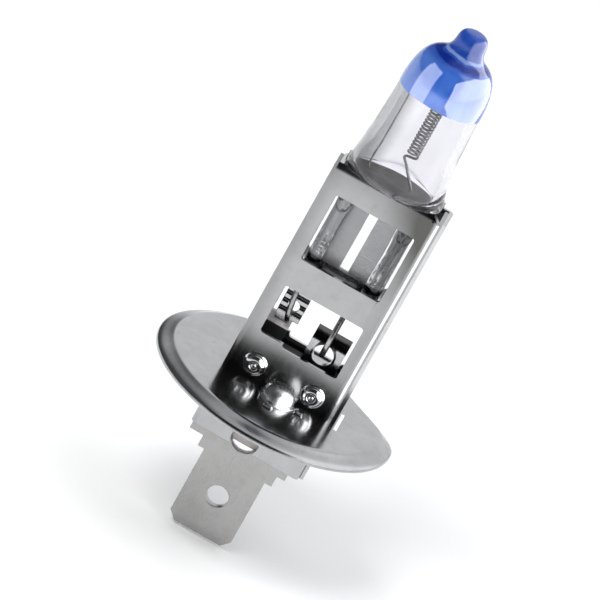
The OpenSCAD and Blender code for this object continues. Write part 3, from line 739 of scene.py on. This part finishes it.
def make_ground_tab(material):
    """Bent strip whose top rolls over towards the back, with an eyelet pressed out round its hole."""
    lo, hi = box_mm("ground_tab")
    x0, x1, front, back, low, top = lo.x, hi.x, lo.y, hi.y, lo.z, hi.z
    sheet, roll = 0.35, 0.9
    hole_x, hole_z, hole_r = 2.1, 4.69, 0.95
    width = x1 - x0

    def place(u, v, depth):
        """u across, v up along the strip's outer face, depth inwards."""
        flat = top - roll - low
        if v <= flat:
            return (x0 + u, front + depth, low + v)
        a = min((v - flat) / roll, math.pi / 2)
        extra = max(v - flat - roll * math.pi / 2, 0)
        inner = roll - depth
        return (x0 + u, front + roll - inner * math.cos(a) + extra, top - roll + inner * math.sin(a))

    around = 64
    hole_u, hole_v = hole_x - x0, hole_z - low
    reach = hole_r + 0.14
    length = top - roll - low + roll * math.pi / 2 + 0.9

    def outline(angle):
        """Point on the strip's edge seen from the hole at this angle."""
        c, s = math.cos(angle), math.sin(angle)
        ways = []
        if abs(c) > 1e-9:
            ways.append(((width - hole_u) if c > 0 else hole_u) / abs(c))
        if abs(s) > 1e-9:
            ways.append(((length - hole_v) if s > 0 else hole_v) / abs(s))
        t = min(ways)
        return hole_u + c * t, hole_v + s * t

    corners = [math.atan2(v - hole_v, u - hole_u) for u in (0, width) for v in (0, length)]
    angles = sorted([2 * math.pi * k / around - math.pi for k in range(around)] + corners)
    rows = []
    eyelet = [(hole_r, sheet), (hole_r, 0.0), (hole_r, -0.16), (hole_r + 0.05, -0.2), (reach - 0.02, -0.16),
              (reach, -0.04), (reach + 0.06, 0.0)]
    for r, depth in eyelet:
        rows.append([place(hole_u + r * math.cos(a), hole_v + r * math.sin(a), depth) for a in angles])
    for share in [i / 12 for i in range(1, 13)]:
        row = []
        for a in angles:
            u1, v1 = outline(a)
            u0, v0 = hole_u + (reach + 0.06) * math.cos(a), hole_v + (reach + 0.06) * math.sin(a)
            row.append(place(u0 + (u1 - u0) * share, v0 + (v1 - v0) * share, 0.0))
        rows.append(row)
    for share in [i / 12 for i in range(12, -1, -1)]:
        row = []
        for a in angles:
            u1, v1 = outline(a)
            u0, v0 = hole_u + hole_r * math.cos(a), hole_v + hole_r * math.sin(a)
            row.append(place(u0 + (u1 - u0) * share, v0 + (v1 - v0) * share, sheet))
        rows.append(row)
    points = [p for row in rows for p in row]
    faces = grid_faces(len(rows), len(angles))
    # foot plate that runs back to the rear shell
    start = len(points)
    for z in (low, low + sheet):
        points += [(x0, front, z), (x1, front, z), (x1, back, z), (x0, back, z)]
    faces += [tuple(start + i for i in f) for f in
              ((3, 2, 1, 0), (4, 5, 6, 7), (0, 1, 5, 4), (1, 2, 6, 5), (2, 3, 7, 6), (3, 0, 4, 7))]
    return new_piece("eyelet_tab", points, faces, material, ["ground_tab"], smooth_angle=35)


# ---------- glass ----------

AROUND = 96


def superellipse(a, b, n, angle, ribs=0.0, centre=0.0):
    """Point of a rounded-box outline; ribs thickens it near its left and right ends."""
    c, s = math.cos(angle), math.sin(angle)
    x = math.copysign(abs(c) ** (2 / n), c)
    y = math.copysign(abs(s) ** (2 / n), s)
    edge = min(max((abs(x) - 0.62) / 0.16, 0), 1)
    return centre + a * x, (b + ribs * edge * edge * (3 - 2 * edge)) * y


GLASS_X = 0.19                               # middle of the seal; the tube itself stands on the axis
# Height, half width, half depth, squareness, ribs, centre: pinch, shoulders and the tube's flare
GLASS_SECTIONS = [
    (10.9, 3.50, 1.05, 7, 0.15, GLASS_X), (11.1, 3.64, 1.18, 8, 0.28, GLASS_X),
    (12.0, 3.68, 1.20, 8, 0.30, GLASS_X), (17.0, 3.68, 1.20, 8, 0.30, GLASS_X),
    (18.0, 3.70, 1.20, 8, 0.36, GLASS_X), (19.0, 3.78, 1.20, 7, 0.30, GLASS_X),
    (20.0, 3.98, 1.22, 6, 0.15, GLASS_X), (20.9, 4.22, 1.25, 5.5, 0.05, GLASS_X),
    (21.5, 4.45, 1.27, 5, 0, GLASS_X), (21.82, 4.60, 1.32, 4.4, 0, 0.17), (21.88, 4.66, 2.6, 3.4, 0, 0.17),
    (21.96, 4.68, 3.7, 2.6, 0, 0.17), (22.12, 4.66, 4.1, 2.2, 0, 0.16), (22.5, 4.57, 4.26, 2.05, 0, 0.13),
    (23.2, 4.42, 4.27, 2, 0, 0.07), (24.0, 4.28, 4.23, 2, 0, 0.03),
    (25.0, 4.17, 4.17, 2, 0, 0), (26.0, 4.08, 4.08, 2, 0, 0), (27.5, 3.99, 3.99, 2, 0, 0),
    (29.0, 3.92, 3.92, 2, 0, 0), (30.7, 3.86, 3.86, 2, 0, 0),
]


def smooth_sections(sections, between):
    """More sections along a Catmull-Rom line through the given ones: between steps from each to the next."""
    out = []
    for i in range(len(sections) - 1):
        a, b = sections[max(i - 1, 0)], sections[i]
        c, d = sections[i + 1], sections[min(i + 2, len(sections) - 1)]
        for k in range(between):
            t = k / between
            out.append(tuple(0.5 * (2 * q + (r - p) * t + (2 * p - 5 * q + 4 * r - s) * t * t
                                    + (3 * q - p - 3 * r + s) * t ** 3)
                             for p, q, r, s in zip(a, b, c, d)))
    return out + [sections[-1]]


NUB_FOOT = 34.75                             # height at which the film of the dome meets that of the nub


def dome_line(tip):
    """Radius and height of the dome, the neck and the sealed exhaust nub."""
    foot = NUB_FOOT - tip
    line = bezier((3.86, 30.9), (3.86, 32.3), (3.62, tip - 3.6), (2.75, tip + foot), 14)[1:]
    line += bezier((2.75, tip + foot), (1.95, tip - 2.35), (1.5, tip - 2.3), (1.38, tip - 1.2), 12)[1:]
    line += bezier((1.38, tip - 1.2), (1.33, tip - 0.45), (1.15, tip - 0.1), (0.5, tip - 0.08), 10)[1:]
    return line


def cavity_line(tip):
    """Radius and height of the gas space, from the middle of its floor to the middle of its top."""
    line = bezier((0.02, 22.25), (2.1, 22.25), (3.5, 22.22), (3.82, 22.14), 16)
    line += bezier((3.86, 22.18), (3.84, 22.9), (3.5, 23.8), (3.3, 25.4), 12)
    line += bezier((3.27, 25.9), (3.2, 27.0), (3.12, 29.5), (3.08, 31.0), 6)
    line += bezier((3.06, 31.8), (3.0, 33.2), (2.2, tip - 4.0), (1.2, tip - 3.7), 10)
    line += bezier((1.1, tip - 3.65), (0.9, tip - 3.2), (0.5, tip - 2.6), (0.02, tip - 2.5), 6)
    return line


def ring(radius, height):
    """Points round the axis at one height."""
    angles = [2 * math.pi * k / AROUND for k in range(AROUND)]
    return [(radius * math.cos(a), radius * math.sin(a), height) for a in angles]


# Swellings that the pinch jaws leave on the seal: x (both sides), z, half width, half height, height
PRESS_MARKS = [(2.75, 18.3, 0.42, 0.55, 0.26), (2.95, 17.2, 0.25, 0.5, -0.12), (2.45, 13.9, 0.28, 0.35, 0.20),
               (2.7, 13.2, 0.22, 0.3, 0.22), (2.4, 12.6, 0.3, 0.25, 0.18), (2.2, 15.5, 0.10, 2.6, -0.10)]


def press_marks(x, z):
    """How far the seal's surface stands out at a place because of the jaws' marks."""
    return sum(height * math.exp(-((abs(x - GLASS_X) - mx) / half_x) ** 2 - ((z - mz) / half_z) ** 2)
               for mx, mz, half_x, half_z, height in PRESS_MARKS)


def make_glass(material):
    """Flat seal, shoulders, tube, dome and nub in one skin, with the gas space as a second skin inside."""
    tip = box_mm("glass_envelope")[1].z
    rows = []
    for z, a, b, n, ribs, centre in smooth_sections(GLASS_SECTIONS, 5):
        row = []
        for k in range(AROUND):
            x, y = superellipse(a, b, n, 2 * math.pi * k / AROUND, ribs, centre)
            row.append((x, y + math.copysign(press_marks(x, z), y) if abs(y) > 0.5 else y, z))
        rows.append(row)
    rows += [ring(r, z) for r, z in dome_line(tip)]
    points = [p for row in rows for p in row]
    faces = grid_faces(len(rows), AROUND)
    faces.append(tuple(range(AROUND))[::-1])
    faces.append(tuple(range((len(rows) - 1) * AROUND, len(rows) * AROUND)))
    inner = [ring(r, z) for r, z in cavity_line(tip)]
    start = len(points)
    points += [p for row in inner for p in row]
    # the gas space's wall faces the other way
    faces += [tuple(start + i for i in reversed(f)) for f in grid_faces(len(inner), AROUND)]
    faces.append(tuple(range(start, start + AROUND)))
    last = start + (len(inner) - 1) * AROUND
    faces.append(tuple(range(last, last + AROUND))[::-1])
    return new_piece("quartz_bulb", points, faces, material, ["glass_envelope"], turn_out=False)


def make_film(name, material, from_z, to_z):
    """Thin blue skin between two heights; the lowest one has a softly waving lower edge."""
    tip = box_mm("glass_envelope")[1].z
    thick, gap = 0.045, 0.012
    whole = [(3.86, 30.7), (3.86, 30.8)] + dome_line(tip)
    kept = [i for i, (r, z) in enumerate(whole) if from_z - 1e-6 <= z <= to_z + 1e-6]

    def skin(offset):
        rows = []
        for i in kept:
            r, z = whole[i]
            p, q = whole[max(i - 1, 0)], whole[min(i + 1, len(whole) - 1)]
            away = Vector((q[1] - p[1], p[0] - q[0])).normalized() * offset
            row = []
            for k in range(AROUND):
                a = 2 * math.pi * k / AROUND
                drop = 0.38 * math.sin(a) + 0.03 * math.sin(5 * a + 1)
                lift = max(0.0, 1 - i / 7) * (-drop)
                row.append(((r + away.x) * math.cos(a), (r + away.x) * math.sin(a), z + away.y + lift))
            rows.append(row)
        return rows

    outer, inner = skin(gap + thick), skin(gap)
    rows = outer + inner[::-1]
    points = [p for row in rows for p in row]
    closed = kept[-1] == len(whole) - 1
    faces = grid_faces(len(rows), AROUND, closed_rows=True)
    if closed:                               # the tip's two skins get caps in place of the joining wall
        faces = [f for f in faces if not (len(outer) - 1) * AROUND <= f[0] < len(outer) * AROUND]
        top = (len(outer) - 1) * AROUND
        faces.append(tuple(range(top, top + AROUND)))
        faces.append(tuple(range(top + AROUND, top + 2 * AROUND))[::-1])
    return new_piece(name, points, faces, material, ["blue_coating"])


# ---------- coil and wires ----------

COIL_X, COIL_R, COIL_WIRE = 0.3, 0.52, 0.09
COIL_TURNS = 15


def make_coil(material):
    """Single coil of wire; gives back the heights of its two ends."""
    lo, hi = box_mm("filament")
    low, high = lo.z + COIL_WIRE, hi.z - COIL_WIRE
    steps = 28
    path = []
    for i in range(COIL_TURNS * steps + 1):
        a = 2 * math.pi * i / steps
        path.append((COIL_X + COIL_R * math.cos(a), COIL_R * math.sin(a),
                     low + (high - low) * i / (COIL_TURNS * steps)))
    points, faces = tube(path, COIL_WIRE, sides=14)
    new_piece("coil", points, faces, material, ["filament"])
    return low, high


INNER_X = 1.8                                # where the inner leads leave the foils, left and right
SHORT_LEAD_R, LONG_LEAD_R = 0.12, 0.08


def make_inner_leads(material, low, high):
    """The short lead hooks under the coil's lower end; the long one passes it and reaches the upper end."""
    foil_top = box_mm("left_foil")[1].z
    start = (COIL_X + COIL_R, 0.0, low)
    hook = (COIL_X - 0.47, -0.1, low - 0.6)
    short = [(INNER_X, 0, foil_top - 0.3), (INNER_X, 0, 21.6)]
    short += bezier((INNER_X, 0, 22.0), (INNER_X - 0.15, 0, 22.5), (hook[0] + 0.9, hook[1], hook[2] - 0.9),
                    hook, 18)
    short += bezier((hook[0] - 0.08, hook[1], hook[2] + 0.12), (hook[0] - 0.02, hook[1], hook[2] + 0.5),
                    (hook[0] + 1.0, -0.3, hook[2] + 0.3), start, 16)
    points, faces = tube(short, SHORT_LEAD_R)
    new_piece("short_lead", points, faces, material, ["short_inner_lead"])
    bend = (-INNER_X - 0.8, 0.3, high)
    long = [(-INNER_X, 0, foil_top - 0.3), (-INNER_X, 0, foil_top + 0.4)]
    long += bezier((-INNER_X, 0, foil_top + 0.8), (-INNER_X, 0, 21.6), (bend[0], 0.1, 21.6),
                   (bend[0], 0.2, 23.2), 14)
    long += bezier((bend[0], 0.2, 24), (bend[0], bend[1], 26), (bend[0], bend[1], high - 2),
                   (bend[0], bend[1], high - 1), 6)
    long += bezier(bend, (bend[0], bend[1], high + 1.5), (start[0], 0.4, high + 1.6),
                   (start[0], 0.0, high), 20)
    points, faces = tube(long, LONG_LEAD_R)
    new_piece("long_lead", points, faces, material, ["long_inner_lead"])


def main():
    make_camera()
    make_world()
    make_floor()
    looks = make_materials()
    finish_node("front_shell", looks["front_nickel_shaded"])
    finish_node("rear_shell", looks["rear_nickel_lit"])
    for name in ("terminal_clip_front", "terminal_clip_rear"):
        finish_node(name, looks["nickel"])
    finish_node("live_strip", looks["strip"])
    make_flange(looks["nickel"])
    bead = make_bead(looks["bright_nickel"])
    dimples = [make_dimples(looks["weld_nickel"], "front_weld_dimples", -1),
               make_dimples(looks["weld_nickel"], "rear_weld_dimples", 1)]
    make_ground_tab(looks["tab"])
    finish_node("blade_terminal", looks["blade"])
    finish_node("ceramic_insulator", looks["steatite"], edge=0.12)
    for name in ("left_outer_lead", "right_outer_lead"):
        finish_node(name, looks["lead_wire"], edge=0)
    for name in ("left_foil", "right_foil"):
        finish_node(name, looks["foil"], edge=0)
    make_glass(looks["quartz"])
    film = make_film("film_skin", looks["blue_film"], 0, NUB_FOOT)
    nub = make_film("film_nub", looks["blue_nub"], NUB_FOOT, 50)
    make_lamps({"left_panel": [film], "edge_panel": [nodes["front_shell"]],
                "right_panel": [film, nub, bead] + dimples})
    low, high = make_coil(looks["tungsten"])
    make_inner_leads(looks["tungsten"], low, high)


main()
